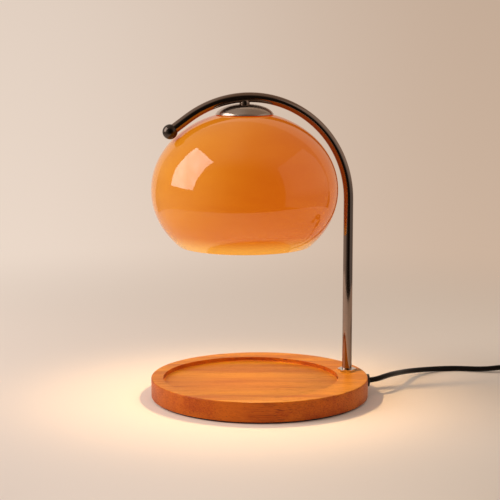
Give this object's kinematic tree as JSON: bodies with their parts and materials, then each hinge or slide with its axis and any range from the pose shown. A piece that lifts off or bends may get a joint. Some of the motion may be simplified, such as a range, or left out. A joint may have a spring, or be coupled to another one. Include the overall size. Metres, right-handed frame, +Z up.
{
  "type": "candle warmer lamp",
  "caption": "Table lamp that warms a candle jar: wooden base with a recess, arched tube, glass shade over a twist-lock reflector lamp, cord with in-line dimmer and plug.",
  "frame": {"origin": "centre of the base on the surface it stands on; the cord, its dimmer, coil and plug lie on the same surface and aren't counted", "axes": "+Z up; +X from the recess towards the post, in the plane of the arch"},
  "size_m": [0.5215, 0.2, 0.2812],
  "materials": {
    "foam_pad": "matt foam",
    "stained_wood": "satin stain",
    "painted_steel": "satin",
    "zinc_steel": "zinc plated",
    "dark_chrome": "polished dark chrome",
    "bright_chrome": "polished",
    "gunmetal": "satin",
    "shade_glass": "glossy cased glass",
    "silicone": "matt",
    "white_nylon": "satin",
    "white_ceramic": "matt",
    "brass": "bright",
    "nickel_steel": "nickel plated",
    "mirrored_glass": "mirror coated",
    "clear_glass": "clear",
    "lead_sheath": "heat proof sleeve",
    "black_cord": "satin",
    "black_rubber": "matt",
    "black_plastic": "fine texture",
    "circuit_board": "solder mask",
    "pot_body": "moulded",
    "knob_plastic": "soft touch"
  },
  "bodies": {
    "root": {"foot_pad": "foam_pad", "wood_base": "stained_wood", "ballast_plate": "painted_steel", "plate_screws": "zinc_steel", "arch_tube": "dark_chrome", "end_ball": "gunmetal", "foot_nut": "bright_chrome", "post_stud": "zinc_steel", "post_washer": "zinc_steel", "post_lock_washer": "zinc_steel", "post_nut": "zinc_steel", "glass_shade": "shade_glass", "hanger_bead": "dark_chrome", "shade_nipple": "zinc_steel", "shade_cap": "dark_chrome", "shade_gasket": "silicone", "shade_bush": "white_nylon", "clamp_washer": "zinc_steel", "nipple_nuts": "zinc_steel", "holder_bracket": "zinc_steel", "lamp_holder": "white_ceramic", "holder_contacts": "brass", "holder_screws": "zinc_steel", "lamp_lead": "lead_sheath", "connector_block": "white_nylon", "cord_inner": "black_cord", "cord_clamp": "white_nylon", "cord_clamp_screws": "zinc_steel", "cord_grommet": "black_rubber", "dimmer_lower_case": "black_plastic", "dimmer_upper_case": "black_plastic", "dimmer_board": "circuit_board", "dimmer_pot": "pot_body", "dimmer_screws": "zinc_steel", "cord_run": "black_cord", "cord_link": "black_cord", "cord_coil": "black_cord", "cord_tail": "black_cord", "plug_body": "black_plastic", "plug_relief": "black_rubber", "plug_blades": "brass"},
    "reflector_lamp": {"bulb_base": "white_ceramic", "bulb_pins": "nickel_steel", "bulb_reflector": "mirrored_glass", "bulb_lens": "clear_glass", "bulb_capsule": "clear_glass"},
    "dimmer_dial": {"dimmer_shaft": "nickel_steel", "dimmer_knob": "knob_plastic"}
  },
  "joints": [
    {"name": "lamp_twist", "type": "hinge", "parent": "root", "child": "reflector_lamp", "pos_m": [-0.0142, 0, 0.219], "axis": [0, 0, -1], "range_deg": [0, 25]},
    {"name": "dimmer_turn", "type": "hinge", "parent": "root", "child": "dimmer_dial", "pos_m": [0.305, 0.033, 0.0163], "axis": [0, 0, 1], "range_deg": [0, 270]}
  ]
}
